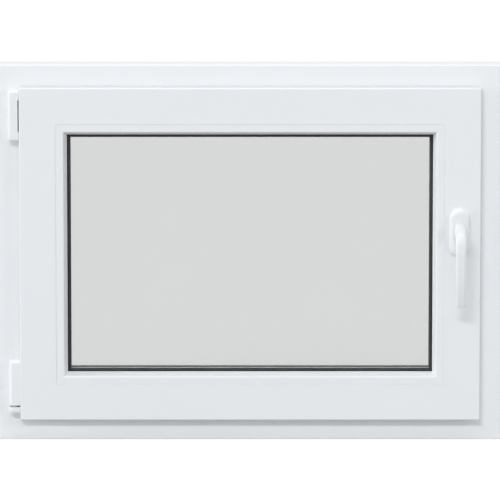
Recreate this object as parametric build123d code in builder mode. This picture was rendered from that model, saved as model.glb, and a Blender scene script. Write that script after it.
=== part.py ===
# Basement window of white plastic profiles: one glazed sash that turns and tilts inward.
# Millimetres. Seen from the room, +X is to the right, +Z is up and the room is on the -Y side.
# The origin is the middle of the frame's bottom face, half way through the frame's depth.
# Profile sections are drawn with two distances: u, measured inward from the frame's outer
# edge, and v, measured along Y from the middle of the frame's depth.
import os

from build123d import *

os.makedirs("parts", exist_ok=True)

# Walls of the hollow profiles
profile_wall = 2.8
chamber_web = 1.2

# Fixed frame
frame_width = 800.0
frame_height = 600.0
frame_depth = 70.0
frame_face = 46.0           # from the outer edge to the rebate
frame_edge_radius = 2.0
stop_leg = 20.0             # outer leg that the closed sash seals against, beyond the face
stop_thickness = 16.5
stop_slope = 3.0            # fall of the stop's top towards the outside
clip_groove_width = 6.0     # grooves in the outer faces, for clips and fixing lugs
clip_groove_depth = 2.5
clip_groove_offset = 24.0   # from the middle of the depth to a groove's middle
frame_chambers = 4          # closed chambers between the room side and outdoors
drain_slot_length = 28.0
drain_slot_height = 5.0

# Sash
sash_inset = 34.5           # from the frame's outer edge to the sash's outer edge
sash_face = 57.5            # from the sash's outer edge to the glazing bead
overlap_leg = 23.5          # lip of the sash that laps over the frame's face
overlap_thickness = 17.0
overlap_gap = 3.0           # between the frame's face and the lip, closed by a seal
stop_gap = 3.5              # between the sash and the frame's stop, closed by a seal
sash_edge_radius = 2.6
sash_bead_radius = 0.4      # of the sash's edge beside the bead
glazing_leg = 20.5          # outer leg that the glass bears against
glazing_leg_thickness = 16.0
glazing_leg_slope = 3.0
sash_chambers = 3

# Glazing
pane_thickness = 4.0
pane_gap = 16.0
pane_edge_clearance = 5.5   # from the glazing rebate to the edge of the glass
gasket_thickness = 3.5
gasket_lip = 5.0            # gasket that shows beyond the bead
gasket_lip_thickness = 1.2
gasket_root = 6.0           # gasket under the bead
spacer_height = 6.5
spacer_cover = 1.7          # the gasket's lip stands this far past the spacer
bead_width = 17.7
bead_wall = 1.6
bead_groove = 0.4           # joint line between the sash and the bead
bead_groove_depth = 1.5
bead_setback = 0.3          # front of the bead behind the sash's face
bead_flat = 12.5            # flat front, up to the rounded inner edge
bead_edge_radius = 2.5
bead_slope_depth = 18.0     # depth over which the inner side slopes to the gasket
bead_foot_radius = 2.0

# Seals
seal_width = 5.0
seal_side = 3.5             # from the edge of the face that a seal presses on to the seal
seal_strap_clearance = 0.5

# Hinges, on the left
hinge_inset = 26.0          # from the frame's outer edge to the hinge axis
hinge_axis_depth = 10.5     # from the frame's face to the hinge axis
hinge_cap_reach = 9.0       # from the hinge axis to a cap's left side
hinge_cap_setback = 1.0     # front of a cap behind the sash's face
hinge_cap_front_radius = 5.0
hinge_cap_end_radius = 4.5
hinge_cap_wall = 1.5
upper_cap_height = 81.0
upper_cap_drop = 38.0       # from the frame's top to the cap's top
upper_cap_relief = 50.0     # middle stretch that stands clear of the sash
upper_cap_relief_depth = 2.2
cap_sash_clearance = 0.15
lower_cap_height = 72.0
lower_bearing_rise = 44.5   # from the frame's bottom to the bearing
lower_bearing_height = 10.5
hinge_pin_gap = 2.5         # between the bearing and the cap above it, where the pin shows
hinge_pin_radius = 2.5
hinge_eye_radius = 4.5
hinge_play = 0.05           # round the pin
hinge_core_clearance = 0.3  # between a cap and the metal inside it
hinge_cut_reach = 60.0      # of a cut that only has to pass right through
hinge_eye_height = 16.0
hinge_knuckle_height = 16.0
hinge_knuckle_gap = 0.3
strap_clearance = 0.3
strap_leg_thickness = 2.5
strap_leg_depth = 24.0
bearing_plate_thickness = 3.0

# Handle, on the right
handle_backset = 67.5       # from the frame's outer edge to the handle's axis
handle_rise = 336.0         # from the frame's bottom to the handle's axis
rosette_width = 32.8
rosette_height = 77.0
rosette_thickness = 9.5
rosette_edge_radius = 6.0
rosette_wall = 2.0
rosette_boss_wall = 2.2     # wall round the collar's hole
collar_radius = 8.6
collar_clearance = 0.3
collar_depth = 6.0
lever_rise = 16.0           # top of the lever above the axis
lever_sink = 10.0           # underside of the lever's neck below the axis
lever_length = 111.5        # from the axis to the tip
lever_crest = 61.0          # largest distance from the sash to the lever's front
lever_crest_drop = 26.0
lever_tip_reach = 48.0      # distance from the sash to the front of the tip
lever_bow_drop = 61.0       # upper control point of the grip's curve, below the axis
lever_hook_drop = 89.0      # lower control point
lever_hook_reach = 47.8
lever_thickness = 10.0
lever_tip_thickness = 8.6
lever_neck_width = 20.0
lever_middle_width = 16.8
lever_tip_width = 16.0
lever_chamfer = 2.6
lever_clearance = 0.4       # between the rosette's face and the lever
spindle_side = 7.0
spindle_socket = 12.0       # spindle inside the lever's neck
spindle_reach = 32.0        # spindle beyond the sash's face
spindle_bore_radius = 6.0
spindle_end_clearance = 2.0

# Drain covers, outside
drain_width = 42.0
drain_height = 13.0
drain_thickness = 5.0
drain_rise = 14.0
drain_offset = 210.0        # from the window's middle to each cover
drain_edge_radius = 2.0
drain_wall = 1.6

# Places that follow from the sizes
frame_front = -frame_depth / 2
frame_back = frame_depth / 2
rebate_edge = frame_face + stop_leg
stop_front = frame_back - stop_thickness
overlap_back = frame_front - overlap_gap
sash_front = overlap_back - overlap_thickness
sash_back = stop_front - stop_gap
sash_body_edge = sash_inset + overlap_leg
bead_edge = sash_inset + sash_face
sight_edge = bead_edge + glazing_leg
glazing_leg_front = sash_back - glazing_leg_thickness
outer_pane_back = glazing_leg_front - gasket_thickness
outer_pane_front = outer_pane_back - pane_thickness
inner_pane_back = outer_pane_front - pane_gap
inner_pane_front = inner_pane_back - pane_thickness
bead_back = inner_pane_front - gasket_thickness
pane_edge = bead_edge + pane_edge_clearance
bead_inner_edge = bead_edge + bead_width
lip_edge = bead_inner_edge + gasket_lip
spacer_edge = lip_edge - spacer_cover

hinge_x = -frame_width / 2 + hinge_inset
hinge_y = frame_front - hinge_axis_depth
sash_left = -frame_width / 2 + sash_inset
cap_left = hinge_x - hinge_cap_reach
cap_front = sash_front + hinge_cap_setback
upper_cap_top = frame_height - upper_cap_drop
upper_cap_middle = upper_cap_top - upper_cap_height / 2
lower_cap_bottom = lower_bearing_rise + lower_bearing_height + hinge_pin_gap
lower_eye_bottom = lower_cap_bottom + hinge_cap_wall

handle_x = frame_width / 2 - handle_backset
handle_axis_plane = Plane(origin=(handle_x, sash_front, handle_rise), x_dir=(1, 0, 0), z_dir=(0, -1, 0))
lever_plane = Plane(origin=(handle_x, sash_front, handle_rise), x_dir=(0, -1, 0), z_dir=(-1, 0, 0))

# The four sides of the window: the way inward, the middle of the outer edge, half the length
SIDES = {
    "head": (Vector(0, 0, -1), Vector(0, 0, frame_height), frame_width / 2),
    "sill": (Vector(0, 0, 1), Vector(0, 0, 0), frame_width / 2),
    "hinge": (Vector(1, 0, 0), Vector(-frame_width / 2, 0, frame_height / 2), frame_height / 2),
    "lock": (Vector(-1, 0, 0), Vector(frame_width / 2, 0, frame_height / 2), frame_height / 2),
}


def save(piece, node):
    """Label a finished piece with its node name and write it."""
    piece.part.label = node
    export_step(piece.part, f"parts/{node}.step")


def mitred_bar(side, section):
    """One straight member: a section carried along a side and cut at 45 degrees at both corners."""
    inward, middle, half_length = SIDES[side]
    along = inward.cross(Vector(0, 1, 0))
    with BuildPart() as bar:
        with BuildSketch(Plane(origin=middle, x_dir=inward, z_dir=along)):
            add(section.sketch)
        extrude(amount=half_length, both=True)
        for way in (along, along * -1):
            corner = middle + way * half_length
            split(bisect_by=Plane(origin=corner, z_dir=way + inward), keep=Keep.BOTTOM)
    return bar


def mitred_ring(section):
    """The four members of one section, joined into a ring round the window."""
    bars = [mitred_bar(side, section).part for side in SIDES]
    with BuildPart() as ring:
        add(bars)
    return ring


def pane(front, back):
    """A sheet of glass between two depths, with its edges in the glazing rebate."""
    with BuildPart() as sheet:
        with BuildSketch(Plane.XZ.offset(-back)):
            with Locations((0, frame_height / 2)):
                Rectangle(frame_width - 2 * pane_edge, frame_height - 2 * pane_edge)
        extrude(amount=back - front)
    return sheet


def strip_section(first_u, last_u, first_v, last_v):
    """A plain rectangular section between two insets and two depths."""
    with BuildSketch() as section:
        with Locations(((first_u + last_u) / 2, (first_v + last_v) / 2)):
            Rectangle(last_u - first_u, last_v - first_v)
    return section


def cut_chambers(first_u, last_u, first_v, last_v, count):
    """Cut a row of equal closed chambers, with thin webs between, from the section being drawn."""
    pitch = (last_v - first_v + chamber_web) / count
    for index in range(count):
        middle_v = first_v + index * pitch + (pitch - chamber_web) / 2
        with Locations(((first_u + last_u) / 2, middle_v)):
            Rectangle(last_u - first_u, pitch - chamber_web, mode=Mode.SUBTRACT)


# Frame profile: a body, and the stop leg that the closed sash seals against
with BuildSketch() as frame_section:
    with BuildLine():
        Polyline(
            (0, frame_front),
            (frame_face, frame_front),
            (frame_face, stop_front),
            (rebate_edge - stop_slope, stop_front),
            (rebate_edge, stop_front + stop_slope),
            (rebate_edge, frame_back),
            (0, frame_back),
            close=True,
        )
    make_face()
    with Locations((0, -clip_groove_offset), (0, clip_groove_offset)):
        Rectangle(2 * clip_groove_depth, clip_groove_width, mode=Mode.SUBTRACT)
    fillet(frame_section.vertices().group_by(Axis.Y)[0], frame_edge_radius)
    cut_chambers(clip_groove_depth + profile_wall, frame_face - profile_wall,
                 frame_front + profile_wall, frame_back - profile_wall, frame_chambers)
    cut_chambers(frame_face, rebate_edge - profile_wall,
                 stop_front + profile_wall, frame_back - profile_wall, 1)

save(mitred_bar("head", frame_section), "frame_head")
save(mitred_bar("hinge", frame_section), "frame_hinge_jamb")
save(mitred_bar("lock", frame_section), "frame_lock_jamb")

# The sill's outer wall has two slots that drain its outermost chamber
sill_bar = mitred_bar("sill", frame_section)
with BuildPart() as sill:
    add(sill_bar.part)
    with BuildSketch(Plane.XZ.offset(-frame_back)):
        with Locations(*[(way * drain_offset, drain_rise + drain_height / 2) for way in (-1, 1)]):
            SlotOverall(drain_slot_length, drain_slot_height)
    extrude(amount=profile_wall, mode=Mode.SUBTRACT)
save(sill, "frame_sill")

# Sash profile: a lip over the frame, a body, and the outer leg that holds the glass
with BuildSketch() as sash_section:
    with BuildLine():
        Polyline(
            (sash_inset, sash_front),
            (bead_edge, sash_front),
            (bead_edge, glazing_leg_front),
            (sight_edge, glazing_leg_front),
            (sight_edge, sash_back - glazing_leg_slope),
            (sight_edge - glazing_leg_slope, sash_back),
            (sash_body_edge, sash_back),
            (sash_body_edge, overlap_back),
            (sash_inset, overlap_back),
            close=True,
        )
    make_face()
    fillet(sash_section.vertices().group_by(Axis.Y)[0].sort_by(Axis.X)[0], sash_edge_radius)
    fillet(sash_section.vertices().group_by(Axis.Y)[0].sort_by(Axis.X)[-1], sash_bead_radius)
    cut_chambers(sash_inset + profile_wall, sash_body_edge, sash_front + profile_wall,
                 overlap_back - profile_wall, 1)
    cut_chambers(sash_body_edge + profile_wall, bead_edge - profile_wall,
                 sash_front + profile_wall, sash_back - profile_wall, sash_chambers)
    cut_chambers(bead_edge, sight_edge - profile_wall,
                 glazing_leg_front + profile_wall, sash_back - profile_wall, 1)

save(mitred_bar("head", sash_section), "sash_head_rail")
save(mitred_bar("sill", sash_section), "sash_bottom_rail")
save(mitred_bar("hinge", sash_section), "sash_hinge_stile")

lock_stile_bar = mitred_bar("lock", sash_section)
with BuildPart() as lock_stile:
    add(lock_stile_bar.part)
    with BuildSketch(handle_axis_plane):
        Circle(spindle_bore_radius)
    extrude(amount=-spindle_reach - spindle_end_clearance, mode=Mode.SUBTRACT)
save(lock_stile, "sash_lock_stile")

# Glazing bead: a flat front with a rounded inner edge, and a side that slopes to the gasket
with BuildSketch() as bead_section:
    bead_front = sash_front + bead_setback
    slope_foot = bead_front + bead_slope_depth
    with BuildLine():
        Polyline(
            (bead_edge + bead_groove, bead_front),
            (bead_edge + bead_flat, bead_front),
            (bead_inner_edge, slope_foot),
            (bead_inner_edge, bead_back),
            (bead_edge, bead_back),
            (bead_edge, sash_front + bead_groove_depth),
            (bead_edge + bead_groove, sash_front + bead_groove_depth),
            close=True,
        )
    make_face()
    fillet(bead_section.vertices().group_by(Axis.Y)[0].sort_by(Axis.X)[-1], bead_edge_radius)
    fillet(bead_section.vertices().sort_by_distance((bead_inner_edge, slope_foot))[0], bead_foot_radius)
    cut_chambers(bead_edge + bead_wall, bead_edge + bead_flat - bead_wall,
                 bead_front + bead_wall, bead_back - bead_wall, 1)

for side, node in (("head", "glazing_bead_top"), ("sill", "glazing_bead_bottom"),
                   ("hinge", "glazing_bead_hinge_side"), ("lock", "glazing_bead_lock_side")):
    save(mitred_bar(side, bead_section), node)

# Double glazing: two panes, a spacer bar near their edges and a sealant behind the bar
save(pane(inner_pane_front, inner_pane_back), "inner_pane")
save(pane(outer_pane_front, outer_pane_back), "outer_pane")
spacer_section = strip_section(spacer_edge - spacer_height, spacer_edge, inner_pane_back, outer_pane_front)
save(mitred_ring(spacer_section), "spacer_bar")
sealant_section = strip_section(pane_edge, spacer_edge - spacer_height, inner_pane_back, outer_pane_front)
save(mitred_ring(sealant_section), "edge_sealant")

# Glazing gaskets, with a lip that thins towards the glass
with BuildSketch() as inner_gasket_section:
    with BuildLine():
        Polyline(
            (bead_inner_edge - gasket_root, bead_back),
            (bead_inner_edge, bead_back),
            (lip_edge, inner_pane_front - gasket_lip_thickness),
            (lip_edge, inner_pane_front),
            (bead_inner_edge - gasket_root, inner_pane_front),
            close=True,
        )
    make_face()
save(mitred_ring(inner_gasket_section), "inner_glazing_gasket")

with BuildSketch() as outer_gasket_section:
    with BuildLine():
        Polyline(
            (sight_edge - gasket_root, glazing_leg_front),
            (sight_edge, glazing_leg_front),
            (lip_edge, outer_pane_back + gasket_lip_thickness),
            (lip_edge, outer_pane_back),
            (sight_edge - gasket_root, outer_pane_back),
            close=True,
        )
    make_face()
save(mitred_ring(outer_gasket_section), "outer_glazing_gasket")

# Seal on the frame's stop, against the sash's outer face
stop_seal_outer = rebate_edge - stop_slope - seal_side - seal_width
save(mitred_ring(strip_section(stop_seal_outer, stop_seal_outer + seal_width, sash_back, stop_front)),
     "frame_stop_seal")


def strap_box(bottom, height, clearance):
    """Room that a hinge strap takes between the frame's face and the sash's lip."""
    width = overlap_leg + sash_inset - hinge_inset + 2 * clearance
    middle_x = hinge_x + width / 2 - clearance
    return Pos(middle_x, (frame_front + overlap_back) / 2, bottom + height / 2) * Box(
        width, overlap_gap, height + 2 * clearance, mode=Mode.PRIVATE
    )


# Seal under the sash's lip, left out where the two hinge straps pass
upper_eye_bottom = upper_cap_middle - hinge_eye_height / 2
overlap_seal_edge = frame_face - seal_side - seal_width
overlap_seal_ring = mitred_ring(
    strip_section(overlap_seal_edge, overlap_seal_edge + seal_width, overlap_back, frame_front)
)
with BuildPart() as overlap_seal:
    add(overlap_seal_ring.part)
    add(strap_box(upper_eye_bottom, hinge_eye_height, seal_strap_clearance), mode=Mode.SUBTRACT)
    add(strap_box(lower_eye_bottom, hinge_eye_height, seal_strap_clearance), mode=Mode.SUBTRACT)
save(overlap_seal, "sash_overlap_seal")


def hinge_strap(bottom):
    """Sash half of a hinge: an eye round the pin, a strap under the lip and a leg on the sash's side."""
    strap_front = overlap_back + strap_clearance
    strap_back = frame_front - strap_clearance
    leg_right = -frame_width / 2 + sash_body_edge
    with BuildPart() as strap:
        with BuildSketch(Plane.XY.offset(bottom)):
            with Locations((hinge_x, hinge_y)):
                Circle(hinge_eye_radius)
            with BuildLine():
                Polyline(
                    (hinge_x, hinge_y),
                    (hinge_x + hinge_eye_radius, hinge_y),
                    (hinge_x + hinge_eye_radius, strap_front),
                    (leg_right, strap_front),
                    (leg_right, strap_front + strap_leg_depth),
                    (leg_right - strap_leg_thickness, strap_front + strap_leg_depth),
                    (leg_right - strap_leg_thickness, strap_back),
                    (hinge_x, strap_back),
                    close=True,
                )
            make_face()
            with Locations((hinge_x, hinge_y)):
                Circle(hinge_pin_radius + hinge_play, mode=Mode.SUBTRACT)
        extrude(amount=hinge_eye_height)
    return strap


def hinge_pin(bottom, height):
    """A round hinge pin that stands on the hinge axis."""
    with BuildPart() as pin:
        with BuildSketch(Plane.XY.offset(bottom)):
            with Locations((hinge_x, hinge_y)):
                Circle(hinge_pin_radius)
        extrude(amount=height)
    return pin


def cap_form(left, right, bottom, height, domed_ends):
    """Outer form of a hinge cap: its plan, side and front outlines, extruded and intersected."""
    top = bottom + height
    depth_middle = (cap_front + frame_front) / 2
    with BuildPart() as form:
        with BuildSketch(Plane.XY.offset(bottom)) as plan:
            with Locations(((left + right) / 2, depth_middle)):
                Rectangle(right - left, frame_front - cap_front)
            fillet(plan.vertices().group_by(Axis.Y)[0].sort_by(Axis.X)[0], hinge_cap_front_radius)
        extrude(amount=height)
        with BuildSketch(Plane.YZ.offset(left)) as side:
            with Locations((depth_middle, (bottom + top) / 2)):
                Rectangle(frame_front - cap_front, height)
            front_corners = side.vertices().group_by(Axis.X)[0].sort_by(Axis.Y)
            fillet([front_corners[end] for end in domed_ends], hinge_cap_end_radius)
        extrude(amount=right - left, mode=Mode.INTERSECT)
        with BuildSketch(Plane.XZ.offset(-frame_front)) as front:
            with Locations(((left + right) / 2, (bottom + top) / 2)):
                Rectangle(right - left, height)
            left_corners = front.vertices().group_by(Axis.X)[0].sort_by(Axis.Y)
            fillet([left_corners[end] for end in domed_ends], hinge_cap_end_radius)
        extrude(amount=frame_front - cap_front, mode=Mode.INTERSECT)
    return form


def core_room(bottom, height, clearance):
    """Room inside a cap for the metal round the hinge axis, open to the frame's face."""
    width = 2 * (hinge_eye_radius + clearance)
    front = hinge_y - hinge_eye_radius - clearance
    return Pos(hinge_x, (front + frame_front) / 2, bottom + height / 2) * Box(
        width, frame_front - front, height + 2 * clearance, mode=Mode.PRIVATE
    )


# Upper hinge: a bearing on the frame with two knuckles, a pin, and the sash's strap between them
knuckle_reach = hinge_eye_height / 2 + hinge_knuckle_gap + hinge_knuckle_height
with BuildPart() as upper_bearing:
    with BuildSketch(Plane.XY.offset(upper_cap_middle - knuckle_reach)):
        with Locations((hinge_x, frame_front - bearing_plate_thickness / 2)):
            Rectangle(2 * hinge_eye_radius, bearing_plate_thickness)
        with Locations((hinge_x, (hinge_y + frame_front) / 2)):
            Rectangle(2 * hinge_eye_radius, hinge_axis_depth)
        with Locations((hinge_x, hinge_y)):
            Circle(hinge_eye_radius)
            Circle(hinge_pin_radius + hinge_play, mode=Mode.SUBTRACT)
    extrude(amount=2 * knuckle_reach)
    with BuildSketch(Plane.XY.offset(upper_eye_bottom - hinge_knuckle_gap)):
        with Locations((hinge_x - strap_clearance, frame_front)):
            Rectangle(hinge_cut_reach, hinge_cut_reach, align=(Align.MIN, Align.CENTER))
        with Locations((hinge_x, frame_front - bearing_plate_thickness)):
            Rectangle(hinge_cut_reach, hinge_cut_reach, align=(Align.CENTER, Align.MAX))
    extrude(amount=hinge_eye_height + 2 * hinge_knuckle_gap, mode=Mode.SUBTRACT)
save(upper_bearing, "upper_hinge_bearing")
save(hinge_pin(upper_cap_middle - knuckle_reach, 2 * knuckle_reach), "upper_hinge_pin")
save(hinge_strap(upper_eye_bottom), "upper_hinge_strap")

BOTTOM_END, TOP_END = 0, -1
upper_cap_form = cap_form(cap_left, sash_left - cap_sash_clearance, upper_cap_top - upper_cap_height,
                          upper_cap_height, (BOTTOM_END, TOP_END))
with BuildPart() as upper_cap:
    add(upper_cap_form.part)
    with BuildSketch(Plane.XY.offset(upper_cap_middle - upper_cap_relief / 2)):
        with Locations((sash_left - cap_sash_clearance - upper_cap_relief_depth, frame_front)):
            Rectangle(hinge_cut_reach, hinge_cut_reach, align=(Align.MIN, Align.CENTER))
    extrude(amount=upper_cap_relief, mode=Mode.SUBTRACT)
    add(core_room(upper_cap_middle - knuckle_reach, 2 * knuckle_reach, hinge_core_clearance),
        mode=Mode.SUBTRACT)
    add(strap_box(upper_eye_bottom, hinge_eye_height, hinge_core_clearance), mode=Mode.SUBTRACT)
save(upper_cap, "upper_hinge_cap")

# Lower hinge: a bearing on the frame that holds the pin, and the sash's strap that turns on it
lower_core_bottom = lower_bearing_rise + hinge_cap_wall
lower_core_height = lower_bearing_height - 2 * hinge_cap_wall
with BuildPart() as lower_bearing:
    with BuildSketch(Plane.XY.offset(lower_core_bottom)):
        with Locations((hinge_x, (hinge_y + frame_front) / 2)):
            Rectangle(2 * hinge_eye_radius, hinge_axis_depth)
        with Locations((hinge_x, hinge_y)):
            Circle(hinge_eye_radius)
            Circle(hinge_pin_radius + hinge_play, mode=Mode.SUBTRACT)
    extrude(amount=lower_core_height)
save(lower_bearing, "lower_hinge_bearing")
save(hinge_pin(lower_core_bottom, lower_eye_bottom + hinge_eye_height - lower_core_bottom), "lower_hinge_pin")
save(hinge_strap(lower_eye_bottom), "lower_hinge_strap")


def pin_hole(bottom, height):
    """Hole in a cap that the pin passes through."""
    return Pos(hinge_x, hinge_y, bottom + height / 2) * Cylinder(
        hinge_pin_radius + hinge_core_clearance, height, mode=Mode.PRIVATE
    )


bearing_cap_form = cap_form(cap_left, sash_left - cap_sash_clearance, lower_bearing_rise,
                            lower_bearing_height, (BOTTOM_END,))
with BuildPart() as bearing_cap:
    add(bearing_cap_form.part)
    add(core_room(lower_core_bottom, lower_core_height, 0), mode=Mode.SUBTRACT)
    add(pin_hole(lower_core_bottom + lower_core_height, hinge_cap_wall), mode=Mode.SUBTRACT)
save(bearing_cap, "lower_bearing_cap")

lower_cap_form = cap_form(cap_left, sash_left, lower_cap_bottom, lower_cap_height, (TOP_END,))
with BuildPart() as lower_cap:
    add(lower_cap_form.part)
    add(core_room(lower_eye_bottom, hinge_eye_height, hinge_core_clearance), mode=Mode.SUBTRACT)
    add(strap_box(lower_eye_bottom, hinge_eye_height, hinge_core_clearance), mode=Mode.SUBTRACT)
    add(pin_hole(lower_cap_bottom, hinge_cap_wall), mode=Mode.SUBTRACT)
save(lower_cap, "lower_hinge_cap")

# Rosette: a crowned hollow cover on the sash, with a boss and a round hole for the lever's collar
with BuildPart() as rosette:
    with BuildSketch(handle_axis_plane):
        SlotOverall(rosette_height, rosette_width, rotation=90)
    extrude(amount=rosette_thickness)
    fillet(rosette.faces().sort_by(Axis.Y)[0].edges(), rosette_edge_radius)
    with BuildSketch(handle_axis_plane):
        SlotOverall(rosette_height - 2 * rosette_wall, rosette_width - 2 * rosette_wall, rotation=90)
        Circle(collar_radius + collar_clearance + rosette_boss_wall, mode=Mode.SUBTRACT)
    extrude(amount=rosette_thickness - rosette_edge_radius, mode=Mode.SUBTRACT)
    with BuildSketch(handle_axis_plane):
        Circle(collar_radius + collar_clearance)
    extrude(amount=rosette_thickness, mode=Mode.SUBTRACT)
save(rosette, "handle_rosette")

# Lever: lofted along a path that leaves the rosette, bends down and bows back towards the sash
lever_root = rosette_thickness + lever_clearance
neck_height = lever_rise + lever_sink
neck_middle = (lever_rise - lever_sink) / 2
crest_middle = lever_crest - lever_thickness / 2
tip_middle = lever_tip_reach - lever_tip_thickness / 2
with BuildLine(lever_plane):
    elbow = Bezier((lever_root, neck_middle), ((lever_root + crest_middle) / 2, neck_middle),
                   (crest_middle, 0), (crest_middle, -lever_crest_drop))
    grip = Bezier((crest_middle, -lever_crest_drop), (crest_middle, -lever_bow_drop),
                  (lever_hook_reach, -lever_hook_drop), (tip_middle, -lever_length))


def lever_outline(path, share, width, thickness):
    """The lever's section at a share of a path: a rectangle with bevelled corners."""
    with BuildSketch(Plane(origin=path @ share, x_dir=(1, 0, 0), z_dir=path % share)) as outline:
        Rectangle(width, thickness)
        chamfer(outline.vertices(), lever_chamfer)
    return outline.sketch


# Shares of the two paths at which an outline stands
elbow_shares = (0, 0.3, 0.65)
grip_shares = (0, 0.35, 0.7, 1)
lever_outlines = []
for share in elbow_shares:
    lever_outlines.append(lever_outline(
        elbow, share, lever_neck_width + (lever_middle_width - lever_neck_width) * share,
        lever_thickness + (neck_height - lever_thickness) * (1 - share) ** 2))
for share in grip_shares:
    lever_outlines.append(lever_outline(
        grip, share, lever_middle_width + (lever_tip_width - lever_middle_width) * share,
        lever_thickness + (lever_tip_thickness - lever_thickness) * share))

with BuildPart() as lever:
    loft(lever_outlines)
    with BuildSketch(handle_axis_plane.offset(rosette_thickness - collar_depth)):
        Circle(collar_radius)
    extrude(amount=collar_depth + lever_clearance)
    with BuildSketch(handle_axis_plane.offset(rosette_thickness - collar_depth)):
        Rectangle(spindle_side, spindle_side)
    extrude(amount=spindle_socket, mode=Mode.SUBTRACT)
save(lever, "handle_lever")

with BuildPart() as spindle:
    with BuildSketch(handle_axis_plane.offset(-spindle_reach)):
        Rectangle(spindle_side, spindle_side)
    extrude(amount=spindle_reach + rosette_thickness - collar_depth + spindle_socket)
save(spindle, "handle_spindle")

# Hoods over the drain slots in the frame's outer face, open at the bottom
for side, way in (("hinge_side", -1), ("lock_side", 1)):
    with BuildPart() as drain_cover:
        with BuildSketch(Plane.XZ.offset(-frame_back - drain_thickness)):
            with Locations((way * drain_offset, drain_rise + drain_height / 2)):
                Rectangle(drain_width, drain_height)
        extrude(amount=drain_thickness)
        chamfer(drain_cover.faces().sort_by(Axis.Y)[-1].edges(), drain_edge_radius)
        with BuildSketch(Plane.XZ.offset(-frame_back)):
            with Locations((way * drain_offset, drain_rise + drain_height / 2 - drain_wall)):
                Rectangle(drain_width - 2 * drain_wall, drain_height)
        extrude(amount=-drain_thickness + drain_wall, mode=Mode.SUBTRACT)
    save(drain_cover, f"drain_cover_{side}")
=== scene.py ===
"""Looks of the basement window: finishes, moulded details, light and camera.

Metres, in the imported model's frame: +X to the right seen from the room, +Z up, the room at -Y.
Profile sections are written in millimetres as (u, v): u inward from the frame's outer edge,
v along Y from the middle of the frame's depth.
"""
import math

import bmesh
import bpy
import numpy as np
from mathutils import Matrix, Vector


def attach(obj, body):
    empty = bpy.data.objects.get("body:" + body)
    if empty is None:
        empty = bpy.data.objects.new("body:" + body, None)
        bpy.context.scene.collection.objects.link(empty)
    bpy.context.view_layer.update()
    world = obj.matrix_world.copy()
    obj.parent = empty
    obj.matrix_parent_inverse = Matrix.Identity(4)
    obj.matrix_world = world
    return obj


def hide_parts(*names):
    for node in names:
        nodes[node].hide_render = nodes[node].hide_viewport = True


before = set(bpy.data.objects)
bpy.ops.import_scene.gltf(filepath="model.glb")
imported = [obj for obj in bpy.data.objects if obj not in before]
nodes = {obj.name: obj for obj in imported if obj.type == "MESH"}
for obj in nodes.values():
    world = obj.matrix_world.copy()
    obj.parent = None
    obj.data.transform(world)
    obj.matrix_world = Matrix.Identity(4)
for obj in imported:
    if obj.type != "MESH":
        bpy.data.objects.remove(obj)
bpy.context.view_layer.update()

MM = 0.001

# The window's own places, in millimetres
WIDTH, HEIGHT = 800.0, 600.0
FRAME_FRONT, FRAME_BACK, FRAME_FACE, REBATE_EDGE, STOP_FRONT = -35.0, 35.0, 46.0, 66.0, 18.5
SASH_EDGE, SASH_FRONT, SASH_BACK, LIP_BACK, SASH_BODY = 34.5, -55.0, 15.0, -38.0, 58.0
BEAD_EDGE, BEAD_INNER, SIGHT_EDGE, GLAZING_LEG = 92.0, 109.7, 112.5, -1.0
INNER_GLASS, OUTER_GLASS, BEAD_FRONT, BEAD_BACK, LIP_EDGE = -28.5, -4.5, -54.7, -32.0, 114.7
HANDLE_X, HANDLE_Z = 332.5, 336.0
GRIP_HOOK = (55.5, -80.0)       # control point that sets how far the grip bows back at its tip
STEP_RUN = 61.5                 # way along the lever to the small step where its flat front begins


# Surfaces worked out with numpy

def rounded(corners, radii, steps=5, support=0.25):
    """Closed outline whose corners are replaced by arcs.

    Each corner's arc touches both of its sides. Its points turn evenly from one touching point to
    the other, and one support point stands on each side just before the arc, to keep flats flat.
    """
    corner = np.asarray(corners, float)
    radius = np.asarray(radii, float)[:, None]
    back = np.roll(corner, 1, axis=0) - corner
    ahead = np.roll(corner, -1, axis=0) - corner
    back /= np.linalg.norm(back, axis=1, keepdims=True)
    ahead /= np.linalg.norm(ahead, axis=1, keepdims=True)
    half = np.arccos(np.clip((back * ahead).sum(1, keepdims=True), -1, 1)) / 2
    reach = radius / np.tan(half)
    middle = back + ahead
    centre = corner + middle / np.linalg.norm(middle, axis=1, keepdims=True) * radius / np.sin(half)
    first, last = corner + back * reach - centre, corner + ahead * reach - centre
    turn = (np.pi - 2 * half)[:, :, None]
    t = np.linspace(0, 1, steps + 1)[None, :, None]
    blend = np.sin((1 - t) * turn) * first[:, None] + np.sin(t * turn) * last[:, None]
    arc = centre[:, None] + blend / np.sin(turn)
    before = (corner + back * (reach + support))[:, None]
    after = (corner + ahead * (reach + support))[:, None]
    return np.concatenate([before, arc, after], axis=1).reshape(-1, 2)


def grid_quads(rows, columns, closed_rows, closed_columns):
    """Corner numbers of the quads between neighbouring points of a rows x columns grid."""
    index = np.arange(rows * columns).reshape(rows, columns)
    if closed_rows:
        index = np.concatenate([index, index[:1]], axis=0)
    if closed_columns:
        index = np.concatenate([index, index[:, :1]], axis=1)
    quads = np.stack([index[:-1, :-1], index[:-1, 1:], index[1:, 1:], index[1:, :-1]], axis=-1)
    return quads.reshape(-1, 4)


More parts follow.
